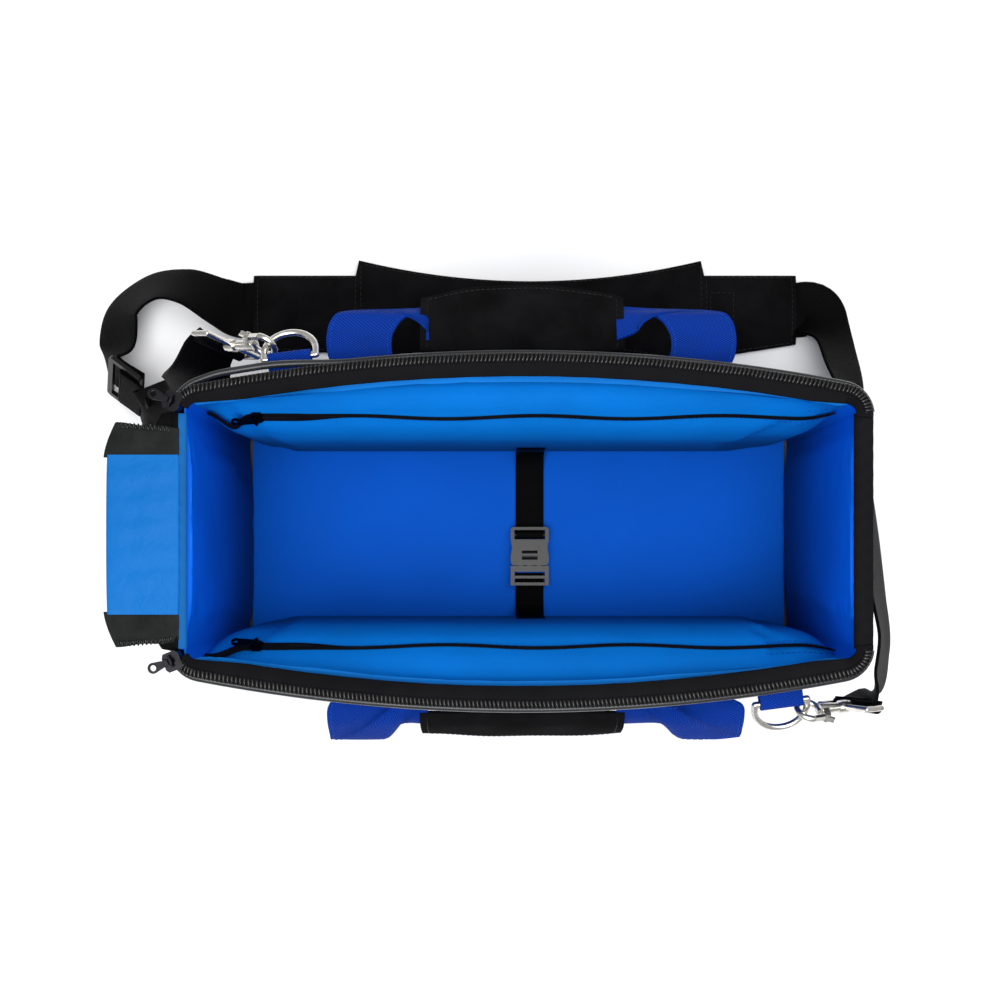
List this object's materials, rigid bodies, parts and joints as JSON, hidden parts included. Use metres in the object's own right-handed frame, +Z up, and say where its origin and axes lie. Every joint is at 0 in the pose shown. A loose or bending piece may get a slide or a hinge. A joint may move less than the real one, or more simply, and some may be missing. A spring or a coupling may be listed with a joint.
{
  "type": "padded camera carrying bag",
  "caption": "Soft padded carrying bag standing open, with a wide zipped mouth, blue lining, side pockets, folded-out end flap, two webbing handles, a hold-down strap and a shoulder strap",
  "frame": {"origin": "centre of the flat underside of the base", "axes": "+X along the bag away from the folded-out end flap, +Y toward the back side, +Z up"},
  "size_m": [0.6844, 0.4098, 0.2496],
  "materials": {
    "lining": "satin",
    "shell": "matte",
    "handle_webbing": "satin",
    "black_webbing": "matte",
    "suede": "matte",
    "tape": "matte",
    "coil": "satin",
    "piping": "gloss",
    "board": "matte",
    "steel": "satin",
    "nickel": "polished",
    "gunmetal": "satin",
    "buckle": "satin"
  },
  "bodies": {
    "bag": {"base_cover": "tape", "base_board": "board", "floor_pad": "lining", "front_wall": "shell", "back_wall": "shell", "left_wall": "shell", "right_wall": "shell", "corner_panels": "suede", "front_pad": "lining", "back_pad": "lining", "left_pad": "lining", "right_pad": "lining", "front_rim_tape": "tape", "back_rim_tape": "tape", "front_zip_coil": "coil", "back_zip_coil": "coil", "rim_frames": "steel", "rim_piping": "piping", "left_seam_strip": "lining", "right_seam_strip": "tape", "front_pocket_zip": "tape", "back_pocket_zip": "tape", "front_main_slider": "gunmetal", "back_main_slider": "gunmetal", "front_handle_runs": "handle_webbing", "back_handle_runs": "handle_webbing", "ring_tabs": "handle_webbing", "back_swivel": "nickel", "front_swivel": "nickel", "left_strap_web": "black_webbing", "middle_strap_web": "black_webbing", "right_strap_web": "black_webbing", "strap_adjuster": "buckle", "shoulder_pad": "suede", "hold_strap_back": "black_webbing", "hold_strap_front": "black_webbing", "buckle_socket": "buckle"},
    "front_handle": {"front_handle_web": "handle_webbing", "front_grip": "suede"},
    "back_handle": {"back_handle_web": "handle_webbing", "back_grip": "suede"},
    "end_flap": {"flap_panel": "lining", "flap_trims": "suede", "flap_coils": "coil"},
    "front_pocket_slider": {"front_pocket_slider": "gunmetal"},
    "front_pocket_pull": {"front_pocket_pull": "gunmetal"},
    "back_pocket_slider": {"back_pocket_slider": "gunmetal"},
    "back_pocket_pull": {"back_pocket_pull": "gunmetal"},
    "front_main_pull": {"front_main_pull": "gunmetal"},
    "back_main_pull": {"back_main_pull": "gunmetal"},
    "front_ring": {"front_d_ring": "nickel"},
    "back_ring": {"back_d_ring": "nickel"},
    "front_hook": {"front_hook": "nickel"},
    "back_hook": {"back_hook": "nickel"},
    "front_gate": {"front_hook_gate": "nickel"},
    "back_gate": {"back_hook_gate": "nickel"},
    "buckle_plug": {"buckle_plug": "buckle"}
  },
  "joints": [
    {"name": "back_handle_swing", "type": "hinge", "parent": "bag", "child": "back_handle", "pos_m": [0, 0.12263, 0.196], "axis": [1, 0, 0], "range_deg": [0, 78]},
    {"name": "front_handle_swing", "type": "hinge", "parent": "bag", "child": "front_handle", "pos_m": [0, -0.12263, 0.196], "axis": [-1, 0, 0], "range_deg": [0, 78]},
    {"name": "end_flap_fold", "type": "hinge", "parent": "bag", "child": "end_flap", "pos_m": [-0.2466, 0, 0.2385], "axis": [0, 1, 0], "range_deg": [0, 100]},
    {"name": "back_pocket_zip_slide", "type": "slide", "parent": "bag", "child": "back_pocket_slider", "axis": [1, 0, 0], "range_m": [0, 0.4]},
    {"name": "front_pocket_zip_slide", "type": "slide", "parent": "bag", "child": "front_pocket_slider", "axis": [1, 0, 0], "range_m": [0, 0.4]},
    {"name": "back_pocket_pull_swing", "type": "hinge", "parent": "back_pocket_slider", "child": "back_pocket_pull", "pos_m": [-0.20037, 0.08317, 0.19415], "axis": [0, 0.5811, 0.8138], "range_deg": [0, 150]},
    {"name": "front_pocket_pull_swing", "type": "hinge", "parent": "front_pocket_slider", "child": "front_pocket_pull", "pos_m": [-0.20037, -0.08317, 0.19415], "axis": [0, 0.5811, -0.8138], "range_deg": [0, 150]},
    {"name": "back_main_pull_swing", "type": "hinge", "parent": "bag", "child": "back_main_pull", "pos_m": [-0.25102, 0.0931, 0.2475], "axis": [0.3746, 0.9272, 0], "range_deg": [0, 150]},
    {"name": "front_main_pull_swing", "type": "hinge", "parent": "bag", "child": "front_main_pull", "pos_m": [-0.25102, -0.0931, 0.2475], "axis": [-0.3746, 0.9272, 0], "range_deg": [0, 150]},
    {"name": "back_ring_swing", "type": "hinge", "parent": "bag", "child": "back_ring", "pos_m": [-0.17172, 0.12929, 0.212], "axis": [0.9934, 0.1148, 0], "range_deg": [-4, 0]},
    {"name": "front_ring_swing", "type": "hinge", "parent": "bag", "child": "front_ring", "pos_m": [0.19293, -0.12643, 0.212], "axis": [0.9917, 0.1287, 0], "range_deg": [0, 4]},
    {"name": "back_hook_swivel", "type": "hinge", "parent": "bag", "child": "back_hook", "pos_m": [-0.19329, 0.13992, 0.20159], "axis": [-0.868, 0.0766, -0.4906], "range_deg": [-8, 8]},
    {"name": "front_hook_swivel", "type": "hinge", "parent": "bag", "child": "front_hook", "pos_m": [0.21578, -0.13393, 0.20365], "axis": [0.9311, 0.0453, -0.3619], "range_deg": [-8, 8]},
    {"name": "back_gate_press", "type": "hinge", "parent": "back_hook", "child": "back_gate", "pos_m": [-0.20542, 0.14613, 0.20241], "axis": [0.3616, 0.7745, -0.519], "range_deg": [0, 10], "stiffness_Nm_per_rad": 0.02, "springref_deg": -2.86},
    {"name": "front_gate_press", "type": "hinge", "parent": "front_hook", "child": "front_gate", "pos_m": [0.22838, -0.13849, 0.20622], "axis": [-0.1785, -0.8087, -0.5604], "range_deg": [0, 10], "stiffness_Nm_per_rad": 0.02, "springref_deg": -2.86},
    {"name": "buckle_plug_slide", "type": "slide", "parent": "bag", "child": "buckle_plug", "axis": [0, -1, 0], "range_m": [0, 0.013]}
  ]
}
